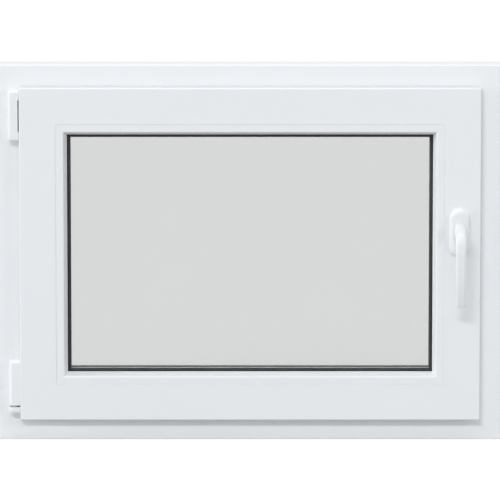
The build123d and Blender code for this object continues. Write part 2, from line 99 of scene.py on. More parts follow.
def make_piece(name, points, faces, finish, body, stands_for, uv=None, crease=38.0):
    """One closed mesh from points in millimetres, smooth but for edges sharper than crease degrees."""
    mesh = bpy.data.meshes.new(name)
    mesh.from_pydata((np.asarray(points) * MM).tolist(), [], faces)
    if uv is not None:
        layer = mesh.uv_layers.new(name="along_profile")
        corner_vertex = np.empty(len(mesh.loops), int)
        mesh.loops.foreach_get("vertex_index", corner_vertex)
        layer.data.foreach_set("uv", (np.asarray(uv)[corner_vertex] * MM).ravel())
    shell = bmesh.new()
    shell.from_mesh(mesh)
    bmesh.ops.recalc_face_normals(shell, faces=shell.faces)
    shell.to_mesh(mesh)
    shell.free()
    mesh.polygons.foreach_set("use_smooth", np.ones(len(mesh.polygons), bool))
    mesh.set_sharp_from_angle(angle=math.radians(crease))
    mesh.materials.append(finish)
    piece = bpy.data.objects.new(name, mesh)
    bpy.context.scene.collection.objects.link(piece)
    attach(piece, body)
    if stands_for:
        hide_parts(*stands_for)
    return piece


SIDES = {
    "head": ((0, 0, -1), (0, 0, HEIGHT), WIDTH / 2),
    "sill": ((0, 0, 1), (0, 0, 0), WIDTH / 2),
    "hinge_side": ((1, 0, 0), (-WIDTH / 2, 0, HEIGHT / 2), HEIGHT / 2),
    "lock_side": ((-1, 0, 0), (WIDTH / 2, 0, HEIGHT / 2), HEIGHT / 2),
}


def mitred_member(name, side, outline, finish, node):
    """Profile carried along one side of the window and cut at 45 degrees at both ends.

    A point of the outline at inset u runs along the side from -(half length - u) to +(half length - u).
    The piece's UV map holds the distance round the outline and the distance along the member.
    """
    inward, middle, half_length = (np.asarray(value, float) for value in SIDES[side])
    depth = np.array([0.0, 1.0, 0.0])
    along = np.cross(inward, depth)
    u, v = outline[:, 0], outline[:, 1]
    share = np.linspace(-1, 1, 2)[:, None]
    run = share * (half_length - u)[None, :]
    base = middle + u[:, None] * inward + v[:, None] * depth
    points = base[None] + run[:, :, None] * along
    steps = np.linalg.norm(np.diff(outline, axis=0, prepend=outline[:1]), axis=1)
    uv = np.stack([np.broadcast_to(np.cumsum(steps), run.shape), run], axis=-1)
    count = len(outline)
    faces = grid_quads(2, count, False, True).tolist()
    faces += [list(range(count)), list(range(2 * count - 1, count - 1, -1))]
    return make_piece(name, points.reshape(-1, 3), faces, finish, "window", [node], uv.reshape(-1, 2))


def mitred_ring(name, outline, finish, node):
    """Profile carried once round the window: at each of the four corners it lies on the 45 degree line."""
    u, v = outline[:, 0], outline[:, 1]
    way_x = np.array([-1, 1, 1, -1])[:, None]
    way_z = np.array([-1, -1, 1, 1])[:, None]
    x = way_x * (WIDTH / 2 - u)
    z = HEIGHT / 2 + way_z * (HEIGHT / 2 - u)
    points = np.stack([x, np.broadcast_to(v, x.shape), z], axis=-1).reshape(-1, 3)
    faces = grid_quads(4, len(outline), True, True).tolist()
    return make_piece(name, points, faces, finish, "window", [node])


# Shared effects

def effect_group(name, inputs, outputs):
    """An empty shader group with named inputs (name, kind, value) and outputs (name, kind)."""
    group = bpy.data.node_groups.new(name, "ShaderNodeTree")
    for label, kind, value in inputs:
        socket = group.interface.new_socket(name=label, in_out="INPUT", socket_type=kind)
        if value is not None:
            socket.default_value = value
    for label, kind in outputs:
        group.interface.new_socket(name=label, in_out="OUTPUT", socket_type=kind)
    return group, group.nodes.new("NodeGroupInput"), group.nodes.new("NodeGroupOutput")


def math_node(tree, operation, first, second=None, third=None):
    """A Math node whose sockets are linked or set, and its value output."""
    node = tree.nodes.new("ShaderNodeMath")
    node.operation = operation
    for socket, value in zip(node.inputs, (first, second, third)):
        if isinstance(value, bpy.types.NodeSocket):
            tree.links.new(value, socket)
        elif value is not None:
            socket.default_value = value
    return node.outputs[0]


def noise_node(tree, vector, scale, detail=2.0):
    """A Noise Texture on a vector, and its even value from 0 to 1."""
    node = tree.nodes.new("ShaderNodeTexNoise")
    node.inputs["Detail"].default_value = detail
    tree.links.new(vector, node.inputs["Vector"])
    if isinstance(scale, bpy.types.NodeSocket):
        tree.links.new(scale, node.inputs["Scale"])
    else:
        node.inputs["Scale"].default_value = scale
    return node.outputs[0]


def build_tone_drift():
    """Slow change of a colour over the surface: two noises, one wide and one fine, shift its brightness."""
    group, given, made = effect_group(
        "tone_drift",
        [("Vector", "NodeSocketVector", None), ("Color", "NodeSocketColor", (0.8, 0.8, 0.8, 1)),
         ("Wide Scale", "NodeSocketFloat", 6.0), ("Fine Scale", "NodeSocketFloat", 900.0),
         ("Amount", "NodeSocketFloat", 0.02)],
        [("Color", "NodeSocketColor"), ("Value", "NodeSocketFloat")])
    wide = noise_node(group, given.outputs["Vector"], given.outputs["Wide Scale"], 3.0)
    fine = noise_node(group, given.outputs["Vector"], given.outputs["Fine Scale"], 1.0)
    mixed = math_node(group, "MULTIPLY_ADD", fine, 0.35, math_node(group, "MULTIPLY", wide, 0.65))
    centred = math_node(group, "SUBTRACT", mixed, 0.5)
    gain = math_node(group, "MULTIPLY_ADD", centred, given.outputs["Amount"], 1.0)
    shade = group.nodes.new("ShaderNodeVectorMath")
    shade.operation = "SCALE"
    group.links.new(given.outputs["Color"], shade.inputs[0])
    group.links.new(gain, shade.inputs["Scale"])
    group.links.new(shade.outputs[0], made.inputs["Color"])
    group.links.new(mixed, made.inputs["Value"])
    return group


def build_die_lines():
    """Fine lines that an extrusion die leaves: noise stretched about 200 times along the member."""
    group, given, made = effect_group(
        "die_lines",
        [("UV", "NodeSocketVector", None), ("Lines per Metre", "NodeSocketFloat", 2500.0),
         ("Base Roughness", "NodeSocketFloat", 0.35), ("Amount", "NodeSocketFloat", 0.1)],
        [("Height", "NodeSocketFloat"), ("Roughness", "NodeSocketFloat")])
    stretch = group.nodes.new("ShaderNodeVectorMath")
    stretch.operation = "MULTIPLY"
    stretch.inputs[1].default_value = (1.0, 0.005, 1.0)
    group.links.new(given.outputs["UV"], stretch.inputs[0])
    lines = noise_node(group, stretch.outputs[0], given.outputs["Lines per Metre"], 3.0)
    patches = noise_node(group, given.outputs["UV"], 35.0, 2.0)
    mixed = math_node(group, "MULTIPLY_ADD", patches, 0.5, math_node(group, "MULTIPLY", lines, 0.5))
    offset = math_node(group, "SUBTRACT", mixed, 0.5)
    rough = math_node(group, "MULTIPLY_ADD", offset, given.outputs["Amount"], given.outputs["Base Roughness"])
    group.links.new(lines, made.inputs["Height"])
    group.links.new(rough, made.inputs["Roughness"])
    return group


def build_moulded_skin():
    """Skin of a moulded, coated or rubber surface: grains for the height, soft patches for the gloss."""
    group, given, made = effect_group(
        "moulded_skin",
        [("Vector", "NodeSocketVector", None), ("Grain Scale", "NodeSocketFloat", 1500.0),
         ("Base Roughness", "NodeSocketFloat", 0.4), ("Amount", "NodeSocketFloat", 0.1)],
        [("Height", "NodeSocketFloat"), ("Roughness", "NodeSocketFloat")])
    grain = noise_node(group, given.outputs["Vector"], given.outputs["Grain Scale"], 1.0)
    patches = noise_node(group, given.outputs["Vector"], 60.0, 2.0)
    offset = math_node(group, "SUBTRACT", patches, 0.5)
    rough = math_node(group, "MULTIPLY_ADD", offset, given.outputs["Amount"], given.outputs["Base Roughness"])
    group.links.new(grain, made.inputs["Height"])
    group.links.new(rough, made.inputs["Roughness"])
    return group


def build_settled_dust():
    """Thin dust where a surface looks up.

    The normal's height, sharpened and broken up by noise, mixes in a dust colour.
    """
    group, given, made = effect_group(
        "settled_dust",
        [("Color", "NodeSocketColor", (0.8, 0.8, 0.8, 1)), ("Vector", "NodeSocketVector", None),
         ("Dust Color", "NodeSocketColor", (0.62, 0.60, 0.56, 1)), ("Amount", "NodeSocketFloat", 0.1)],
        [("Color", "NodeSocketColor"), ("Mask", "NodeSocketFloat")])
    geometry = group.nodes.new("ShaderNodeNewGeometry")
    split = group.nodes.new("ShaderNodeSeparateXYZ")
    group.links.new(geometry.outputs["Normal"], split.inputs[0])
    up = math_node(group, "POWER", math_node(group, "MAXIMUM", split.outputs["Z"], 0.0), 3.0)
    clumps = noise_node(group, given.outputs["Vector"], 220.0, 4.0)
    mask = math_node(group, "MULTIPLY", math_node(group, "MULTIPLY", up, clumps), given.outputs["Amount"])
    mix = group.nodes.new("ShaderNodeMix")
    mix.data_type = "RGBA"
    group.links.new(mask, mix.inputs[0])
    group.links.new(given.outputs["Color"], mix.inputs[6])
    group.links.new(given.outputs["Dust Color"], mix.inputs[7])
    group.links.new(mix.outputs[2], made.inputs["Color"])
    group.links.new(mask, made.inputs["Mask"])
    return group


tone_drift = build_tone_drift()
die_lines = build_die_lines()
moulded_skin = build_moulded_skin()
settled_dust = build_settled_dust()


# Finishes

class Finish:
    """A material under construction, with its Principled shader and its Texture Coordinate node."""

    def __init__(self, name):
        self.material = bpy.data.materials.new(name)
        self.material.use_nodes = True
        self.tree = self.material.node_tree
        self.shader = self.tree.nodes["Principled BSDF"]
        self.places = self.tree.nodes.new("ShaderNodeTexCoord")

    def effect(self, group, **values):
        """Places a shared effect. Names are the group's inputs with underscores for spaces."""
        node = self.tree.nodes.new("ShaderNodeGroup")
        node.node_tree = group
        for label, value in values.items():
            socket = node.inputs[label.replace("_", " ")]
            if isinstance(value, bpy.types.NodeSocket):
                self.tree.links.new(value, socket)
            else:
                socket.default_value = value
        return node.outputs

    def join(self, output, label):
        """Links an output to one of the shader's sockets."""
        self.tree.links.new(output, self.shader.inputs[label])

    def relief(self, height, depth, strength=1.0):
        """Bump of a real depth in metres from a height of 0 to 1."""
        bump = self.tree.nodes.new("ShaderNodeBump")
        bump.inputs["Distance"].default_value = depth
        bump.inputs["Strength"].default_value = strength
        self.tree.links.new(height, bump.inputs["Height"])
        self.join(bump.outputs["Normal"], "Normal")

    def set(self, **values):
        """Plain values on the shader's own sockets."""
        for label, value in values.items():
            self.shader.inputs[label.replace("_", " ")].default_value = value


# The frame is the same plastic as the sash but painted lighter: painted light that makes up for the shade the
# standing-out sash casts over the frame's face.
SASH_WHITE, FRAME_WHITE_PAINTED_LIGHT = (0.800, 0.823, 0.845, 1), (0.830, 0.852, 0.872, 1)


def profile_white(name, colour):
    """Extruded white plastic: satin, with faint die lines along each member."""
    finish = Finish(name)
    tone = finish.effect(tone_drift, Vector=finish.places.outputs["Object"], Color=colour,
                         Wide_Scale=5.0, Fine_Scale=700.0, Amount=0.02)
    dust = finish.effect(settled_dust, Color=tone["Color"], Vector=finish.places.outputs["Object"], Amount=0.04)
    lines = finish.effect(die_lines, UV=finish.places.outputs["UV"], Lines_per_Metre=1600.0,
                          Base_Roughness=0.50, Amount=0.14)
    finish.join(dust["Color"], "Base Color")
    finish.join(lines["Roughness"], "Roughness")
    finish.relief(lines["Height"], 0.00002, 0.5)
    finish.set(IOR=1.46)
    return finish.material


def cap_white():
    """Moulded white plastic of the hinge caps and drain hoods: smoother and a little glossier."""
    finish = Finish("white_moulding")
    tone = finish.effect(tone_drift, Vector=finish.places.outputs["Object"], Color=(0.800, 0.820, 0.840, 1),
                         Wide_Scale=30.0, Fine_Scale=1500.0, Amount=0.03)
    skin = finish.effect(moulded_skin, Vector=finish.places.outputs["Object"], Grain_Scale=2600.0,
                         Base_Roughness=0.42, Amount=0.12)
    dust = finish.effect(settled_dust, Color=tone["Color"], Vector=finish.places.outputs["Object"], Amount=0.06)
    finish.join(dust["Color"], "Base Color")
    finish.join(skin["Roughness"], "Roughness")
    finish.relief(skin["Height"], 0.00002, 0.4)
    finish.set(IOR=1.5)
    return finish.material


def handle_white():
    """Powder coat of the handle: satin with a very fine orange peel."""
    finish = Finish("white_powder_coat")
    tone = finish.effect(tone_drift, Vector=finish.places.outputs["Object"], Color=(0.775, 0.793, 0.812, 1),
                         Wide_Scale=20.0, Fine_Scale=1200.0, Amount=0.03)
    skin = finish.effect(moulded_skin, Vector=finish.places.outputs["Object"], Grain_Scale=1400.0,
                         Base_Roughness=0.46, Amount=0.10)
    finish.join(tone["Color"], "Base Color")
    finish.join(skin["Roughness"], "Roughness")
    finish.relief(skin["Height"], 0.00003, 0.5)
    finish.set(IOR=1.46)
    return finish.material


def sealing_rubber():
    """Black sealing rubber: dull, with a soft sheen on its rounded edges."""
    finish = Finish("black_rubber")
    tone = finish.effect(tone_drift, Vector=finish.places.outputs["Object"], Color=(0.009, 0.009, 0.010, 1),
                         Wide_Scale=25.0, Fine_Scale=900.0, Amount=0.5)
    skin = finish.effect(moulded_skin, Vector=finish.places.outputs["Object"], Grain_Scale=1800.0,
                         Base_Roughness=0.42, Amount=0.2)
    finish.join(tone["Color"], "Base Color")
    finish.join(skin["Roughness"], "Roughness")
    finish.relief(skin["Height"], 0.00004, 0.5)
    finish.set(IOR=1.5)
    return finish.material


def clear_glass():
    """Float glass with the slight grey-green of a coated double pane."""
    finish = Finish("clear_glass")
    film = finish.effect(tone_drift, Vector=finish.places.outputs["Object"], Color=(0.790, 0.793, 0.793, 1),
                         Wide_Scale=3.0, Fine_Scale=12.0, Amount=0.02)
    finish.join(film["Color"], "Base Color")
    finish.set(IOR=1.5, Roughness=0.0, Transmission_Weight=1.0)
    return finish.material


def spacer_aluminium():
    """Mill-finish spacer bar with a row of fine drying holes, painted near black as painted shade inside them.

    The holes have a number per metre, a depth behind the room side and a radius as share of their pitch.
    """
    finish = Finish("spacer_aluminium")
    tone = finish.effect(tone_drift, Vector=finish.places.outputs["Object"], Color=(0.62, 0.63, 0.64, 1),
                         Wide_Scale=12.0, Fine_Scale=1500.0, Amount=0.12)
    skin = finish.effect(moulded_skin, Vector=finish.places.outputs["Object"], Grain_Scale=2500.0,
                         Base_Roughness=0.38, Amount=0.15)
    split = finish.tree.nodes.new("ShaderNodeSeparateXYZ")
    finish.tree.links.new(finish.places.outputs["Object"], split.inputs[0])
    tree, per_metre, depth, radius = finish.tree, 350.0, 0.0165, 0.18
    run = math_node(tree, "ADD", split.outputs["X"], split.outputs["Z"])
    along = math_node(tree, "FRACT", math_node(tree, "MULTIPLY", run, per_metre))
    pitch = math_node(tree, "SUBTRACT", along, 0.5)
    across = math_node(tree, "MULTIPLY", math_node(tree, "ADD", split.outputs["Y"], depth), per_metre)
    squares = math_node(tree, "ADD", math_node(tree, "MULTIPLY", pitch, pitch),
                        math_node(tree, "MULTIPLY", across, across))
    # The drying holes are real, but their near-black colour is painted shade for the hollow behind each hole.
    hole = math_node(tree, "LESS_THAN", math_node(tree, "SQRT", squares), radius)
    mix = finish.tree.nodes.new("ShaderNodeMix")
    mix.data_type = "RGBA"
    mix.inputs[7].default_value = (0.02, 0.02, 0.02, 1)
    finish.tree.links.new(hole, mix.inputs[0])
    finish.tree.links.new(tone["Color"], mix.inputs[6])
    finish.join(mix.outputs[2], "Base Color")
    finish.join(skin["Roughness"], "Roughness")
    finish.relief(skin["Height"], 0.00003, 0.4)
    finish.set(Metallic=1.0)
    return finish.material


def zinc_plating():
    """Zinc plating with pale yellow passivation, uneven in tone."""
    finish = Finish("zinc_plating")
    tone = finish.effect(tone_drift, Vector=finish.places.outputs["Object"], Color=(0.68, 0.65, 0.50, 1),
                         Wide_Scale=90.0, Fine_Scale=2500.0, Amount=0.35)
    skin = finish.effect(moulded_skin, Vector=finish.places.outputs["Object"], Grain_Scale=3500.0,
                         Base_Roughness=0.34, Amount=0.25)
    finish.join(tone["Color"], "Base Color")
    finish.join(skin["Roughness"], "Roughness")
    finish.relief(skin["Height"], 0.00003, 0.5)
    finish.set(Metallic=1.0)
    return finish.material


sash_plastic = profile_white("white_sash_profile", SASH_WHITE)
# The frame's finish gets the lighter white: painted light against the sash's shade on the frame.
frame_plastic_painted_light = profile_white("white_frame_profile_painted_light", FRAME_WHITE_PAINTED_LIGHT)
white_moulding = cap_white()
white_powder_coat = handle_white()
black_rubber = sealing_rubber()
glass = clear_glass()
spacer_metal = spacer_aluminium()
zinc_metal = zinc_plating()

for node, finish in {
    "inner_pane": glass, "outer_pane": glass, "spacer_bar": spacer_metal,
    "edge_sealant": black_rubber, "frame_stop_seal": black_rubber, "sash_overlap_seal": black_rubber,
    "upper_hinge_bearing": zinc_metal, "upper_hinge_pin": zinc_metal, "upper_hinge_strap": zinc_metal,
    "lower_hinge_bearing": zinc_metal, "lower_hinge_pin": zinc_metal, "lower_hinge_strap": zinc_metal,
    "handle_spindle": zinc_metal,
}.items():
    nodes[node].material_slots[0].material = finish


# Frame, sash and glazing beads

frame_outline = rounded(
    [(0, FRAME_FRONT), (FRAME_FACE, FRAME_FRONT), (FRAME_FACE, STOP_FRONT), (REBATE_EDGE - 3, STOP_FRONT),
     (REBATE_EDGE, STOP_FRONT + 3), (REBATE_EDGE, FRAME_BACK), (0, FRAME_BACK),
     (0, 27), (2.5, 27), (2.5, 21), (0, 21), (0, -21), (2.5, -21), (2.5, -27), (0, -27)],
    [1.2, 1.2, 0.6, 0.8, 0.8, 1.2, 1.2, 0.4, 0.4, 0.4, 0.4, 0.4, 0.4, 0.4, 0.4])
sash_outline = rounded(
    [(SASH_EDGE, SASH_FRONT), (BEAD_EDGE, SASH_FRONT), (BEAD_EDGE, GLAZING_LEG), (SIGHT_EDGE, GLAZING_LEG),
     (SIGHT_EDGE, SASH_BACK - 3), (SIGHT_EDGE - 3, SASH_BACK), (SASH_BODY, SASH_BACK),
     (SASH_BODY, LIP_BACK), (SASH_EDGE, LIP_BACK)],
    [1.4, 0.4, 0.4, 0.8, 0.8, 0.8, 0.6, 0.4, 0.9])
for side, frame_node, sash_node in (
    ("head", "frame_head", "sash_head_rail"), ("sill", "frame_sill", "sash_bottom_rail"),
    ("hinge_side", "frame_hinge_jamb", "sash_hinge_stile"), ("lock_side", "frame_lock_jamb", "sash_lock_stile"),
):
    mitred_member(f"frame_{side}_profile", side, frame_outline, frame_plastic_painted_light, frame_node)
    mitred_member(f"sash_{side}_profile", side, sash_outline, sash_plastic, sash_node)


# Glazing bead: a fine joint beside the sash, a flat front, a rounded edge and a slope down to the gasket
bead_outline = rounded(
    [(BEAD_EDGE + 0.15, BEAD_FRONT), (BEAD_EDGE + 12.5, BEAD_FRONT), (BEAD_INNER, BEAD_FRONT + 18),
     (BEAD_INNER, BEAD_BACK), (BEAD_EDGE, BEAD_BACK), (BEAD_EDGE, BEAD_FRONT + 0.8)],
    [0.3, 2.5, 2.0, 0.3, 0.3, 0.05])
for side, node in (("head", "glazing_bead_top"), ("sill", "glazing_bead_bottom"),
                   ("hinge_side", "glazing_bead_hinge_side"), ("lock_side", "glazing_bead_lock_side")):
    mitred_member(f"{node}_profile", side, bead_outline, sash_plastic, node)


# Glazing gaskets

def gasket_section(root, edge, lip, outer, glass_face):
    """Outline of a glazing gasket: a flat root under the bead and a rounded roll that ends in a thin lip.

    Depths are given from outer (against the bead or the sash's leg) to glass_face. The roll is half a
    sine wave over the first half of what shows, and the lip falls to the glass as a quarter cosine.
    """
    depth = outer - glass_face
    a = np.linspace(0, 1, 13)[:, None]
    roll_end = edge + 0.5 * (lip - edge)
    roll = np.hstack([edge + 0.15 + (roll_end - edge - 0.15) * a,
                      glass_face + depth * (0.62 + 0.34 * np.sin(np.pi * a))])
    fall = np.hstack([roll_end + 0.2 + (lip - roll_end - 0.2) * a[1:],
                      glass_face + depth * (0.14 + 0.5 * np.cos(np.pi / 2 * a[1:]))])
    rest = np.array([(lip, glass_face), (root, glass_face), (root, outer), (edge, outer)])
    return np.vstack([roll, fall, rest])


mitred_ring("inner_gasket_roll", gasket_section(103.7, BEAD_INNER, LIP_EDGE, BEAD_BACK, INNER_GLASS),
            black_rubber, "inner_glazing_gasket")
mitred_ring("outer_gasket_roll", gasket_section(106.5, SIGHT_EDGE, LIP_EDGE, GLAZING_LEG, OUTER_GLASS),
            black_rubber, "outer_glazing_gasket")


# Hinge caps

def cap_points(left, right, bottom, top, domed, relief=None, corner=5.0, end=4.5, rows=9, arc=8):
    """Rounded hinge cap: a plan outline stacked from bottom to top.

    The plan is a rectangle whose left front corner is a quarter circle. Near a domed end its left side
    and front draw in by end * (1 - cosine), as a quarter circle does. Over the relief, given as lowest
    height, highest height and depth, the right side stands back from the sash.
    """
    t = np.linspace(0, np.pi / 2, rows)
    dome, dome_in = end * (1 - np.cos(t)), end * (1 - np.sin(t))
    small = 0.3
    plain = np.array([small, 0.0])
    low, low_in = (bottom + dome, dome_in) if domed[0] else (bottom + small - plain, plain)
    high, high_in = (top - dome[::-1], dome_in[::-1]) if domed[1] else (top - plain[::-1], small - plain)
    middle = np.repeat(relief[:2], 2) if relief else np.empty(0)
    z = np.concatenate([low, middle, high])
    inset = np.concatenate([low_in, np.zeros(len(middle)), high_in])[:, None]
    side = np.full(len(z), right)
    if relief:
        side[len(low) + 1:len(low) + 3] -= relief[2]
    q = np.linspace(0, np.pi / 2, arc + 1)
    plan_x = np.concatenate([[0, 0], corner * (1 - np.cos(q)), [corner + 0.4]])
    plan_y = np.concatenate([[FRAME_FRONT, CAP_FRONT + corner + 0.4],
                             CAP_FRONT + corner * (1 - np.sin(q)), [CAP_FRONT]])
    x_left = left + plan_x + inset * np.clip(1 - plan_x / (corner + end), 0, 1)
    y_left = plan_y + inset * (FRAME_FRONT - plan_y) / (FRAME_FRONT - CAP_FRONT)
    front = CAP_FRONT + inset
    x_right = side[:, None] + np.array([[-0.9, -0.6, -0.3, -0.09, 0, 0, 0]])
    y_right = front + np.array([[0, 0, 0.09, 0.3, 0.6, 0.9, 0]])
    y_right[:, -1] = FRAME_FRONT
    x, y = np.hstack([x_left, x_right]), np.hstack([y_left, y_right])
    points = np.stack([x, y, np.broadcast_to(z[:, None], x.shape)], axis=-1)
    count = points.shape[1]
    faces = grid_quads(len(z), count, False, True).tolist()
    last = len(z) * count
    faces += [list(range(count)), list(range(last - 1, last - count - 1, -1))]
    return points.reshape(-1, 3), faces


CAP_LEFT, CAP_FRONT, SASH_LEFT = -383.0, -54.0, -365.5
for name, node, right, bottom, top, domed, relief in (
    ("upper_hinge_cap_moulding", "upper_hinge_cap", SASH_LEFT - 0.15, 481.0, 562.0, (True, True),
     (496.5, 546.5, 1.6)),
    ("lower_hinge_cap_moulding", "lower_hinge_cap", SASH_LEFT, 57.5, 129.5, (False, True), None),
    ("lower_bearing_cap_moulding", "lower_bearing_cap", SASH_LEFT - 0.15, 44.5, 55.0, (True, False), None),
):
    points, faces = cap_points(CAP_LEFT, right, bottom, top, domed, relief)
    make_piece(name, points, faces, white_moulding, "window", [node])


# Handle

def stadium(angle, width, height, inset):
    """Point of a stadium's edge, drawn in by inset: straight sides joined by half circles."""
    radius = width / 2 - inset
    straight = height / 2 - width / 2
    return radius * np.cos(angle), straight * np.sign(np.sin(angle)) + radius * np.sin(angle)


def rosette_points():
    """Crowned cover of the handle.

    Two parameters: the angle round the cover and the way from its rim to the collar's hole. The plan
    goes evenly from the stadium to the circle. The height follows a quarter circle at the rim and a
    shallow crown inside it, both taken from the distance to the rim.
    """
    width, height, thickness, hole = 32.8, 77.0, 9.5, 8.9
    edge, wall = 8.0, 2.2
    angle = np.concatenate([np.linspace(0, np.pi, 49), np.linspace(np.pi, 2 * np.pi, 49)])
    angle[0], angle[48], angle[49], angle[97] = 1e-6, np.pi - 1e-6, np.pi + 1e-6, 2 * np.pi - 1e-6
    rim_x, rim_z = stadium(angle, width, height, 0.0)
    hole_angle = np.arctan2(rim_z * 0.8, rim_x)
    hole_x, hole_z = hole * np.cos(hole_angle), hole * np.sin(hole_angle)
    turn = np.linspace(0, np.pi / 2, 13)
    rim_way = edge * (1 - np.cos(turn))
    inset = np.concatenate([rim_way, edge + np.array([0.4, 0.8, 1.2])])
    outer_x, outer_z = zip(*(stadium(angle, width, height, value) for value in inset))
    outer_x, outer_z = np.array(outer_x), np.array(outer_z)
    rise = np.concatenate([np.sin(turn), np.ones(3)]) * (thickness - wall - 0.3)
    crown = 0.3 * (1 - (1 - np.clip(inset / 9.2, 0, 1)) ** 2)
    top = wall + rise + crown
    share = np.linspace(0, 1, 7)[1:, None]
    inner_x = outer_x[-1] + (hole_x - outer_x[-1]) * share
    inner_z = outer_z[-1] + (hole_z - outer_z[-1]) * share
    inner_top = np.full(len(share), thickness) - (thickness - top[-1]) * (1 - share[:, 0])
    x = np.vstack([rim_x, outer_x, inner_x, hole_x])
    z = np.vstack([rim_z, outer_z, inner_z, hole_z])
    y = np.concatenate([[0.0], top, inner_top, [0.0]])
    points = np.stack([HANDLE_X + x, SASH_FRONT - np.broadcast_to(y[:, None], x.shape), HANDLE_Z + z], axis=-1)
    return points.reshape(-1, 3), grid_quads(len(y), len(angle), True, True).tolist()


rosette, rosette_faces = rosette_points()
make_piece("rosette_cover", rosette, rosette_faces, white_powder_coat, "window", ["handle_rosette"],
           crease=50)


def cubic(controls, t):
    """Cubic Bezier of four control points, and its direction, at the shares t."""
    a, b, c, d = (np.asarray(point, float) for point in controls)
    t = t[:, None]
    place = (1 - t)**3 * a + 3 * (1 - t)**2 * t * b + 3 * (1 - t) * t**2 * c + t**3 * d
    way = 3 * (1 - t)**2 * (b - a) + 6 * (1 - t) * t * (c - b) + 3 * t**2 * (d - c)
    return place, way / np.linalg.norm(way, axis=1, keepdims=True)


def lever_rings():
    """Lever of the handle: a bevelled section carried along a bowed line.

    The line leaves the rosette, bends down at the elbow and bows back towards the sash: two Bezier
    curves in (distance from the sash, height over the axis). The section goes evenly from a rounded
    oval at the neck, a superellipse, to a bevelled rectangle on the grip. Both are drawn for half
    sizes of one and then stretched to the half width and half thickness at each place.
    """
    elbow, elbow_way = cubic([(9.9, 3), (38, 4.5), (53.6, 4.5), (54.2, -18)], np.linspace(0, 1, 33))
    grip, grip_way = cubic([(54.2, -18), (55.0, -48), GRIP_HOOK, (45.0, -111.5)], np.linspace(0, 1, 33)[1:])
    line, way = np.vstack([elbow, grip]), np.vstack([elbow_way, grip_way])
    run = np.concatenate([[0], np.cumsum(np.linalg.norm(np.diff(line, axis=0), axis=1))])
    share = run / run[-1]
    half_width = np.interp(share, [0, 0.2, 0.44, 1], [9.9, 9.5, 8.3, 7.9])
    half_thick = np.interp(share, [0, 0.06, 0.16, 0.28, 0.36, 1], [12.8, 11.2, 7.6, 5.5, 5.1, 4.3])
    bevelled = rounded(
        [(-0.62, 1), (0.62, 1), (1, 0.45), (1, -0.5), (0.66, -1), (-0.66, -1), (-1, -0.5), (-1, 0.45)],
        [0.08, 0.08, 0.08, 0.25, 0.25, 0.25, 0.25, 0.08], steps=5, support=0.03)
    angle = np.arctan2(bevelled[:, 1], bevelled[:, 0])
    oval = np.stack([np.cos(angle), np.sin(angle)], axis=-1)
    oval *= (np.abs(oval) ** 2.3).sum(1, keepdims=True) ** (-1 / 2.3)
    change = np.clip((share - 0.30) / 0.12, 0, 1)[:, None, None]
    section = (1 - change) * oval + change * bevelled
    across = half_width[:, None] * section[:, :, 0]
    step = np.clip((run - STEP_RUN) / 0.5, 0, 1)[:, None] * (bevelled[:, 1] > 0.95)
    out = half_thick[:, None] * section[:, :, 1] + 0.3 * step
    p = line[:, :1] - out * way[:, 1:]
    h = line[:, 1:] + out * way[:, :1]
    return np.stack([HANDLE_X + across, SASH_FRONT - p, HANDLE_Z + h], axis=-1)


def closed_loft(rings, ends=0.6):
    """Quads between rings, and at each end a smaller ring and a flat face, so the end has a small bevel."""
    def drawn_in(ring):
        offset = ring - ring.mean(0)
        return ring.mean(0) + offset * (1 - ends / np.linalg.norm(offset, axis=1, keepdims=True))

    middle = rings.mean(1)
    way_out = middle[[0, -1]] - middle[[1, -2]]
    way_out /= np.linalg.norm(way_out, axis=1, keepdims=True)
    back = rings.copy()
    back[[0, -1]] -= way_out[:, None] * ends
    stacked = np.concatenate([drawn_in(rings[0])[None], back, drawn_in(rings[-1])[None]])
    rows, count = stacked.shape[:2]
    faces = grid_quads(rows, count, False, True).tolist()
    total = rows * count
    faces += [list(range(count)), list(range(total - 1, total - count - 1, -1))]
    return stacked.reshape(-1, 3), faces


lever, lever_faces = closed_loft(lever_rings())
make_piece("lever_grip", lever, lever_faces, white_powder_coat, "handle", ["handle_lever"],
           crease=50)

collar_angle = np.linspace(0, 2 * np.pi, 64, endpoint=False)
collar_out = np.array([3.5, 9.4, 9.9, 10.8])
collar_radius = np.array([8.6, 8.6, 8.45, 8.2])
collar_rings = np.stack([
    HANDLE_X + collar_radius[:, None] * np.cos(collar_angle),
    np.broadcast_to(SASH_FRONT - collar_out[:, None], (4, 64)),
    HANDLE_Z + collar_radius[:, None] * np.sin(collar_angle)], axis=-1)
collar_faces = grid_quads(4, 64, False, True).tolist() + [list(range(64)), list(range(255, 191, -1))]
make_piece("lever_collar", collar_rings.reshape(-1, 3), collar_faces, white_powder_coat, "handle", [])


# Drain hoods, outside

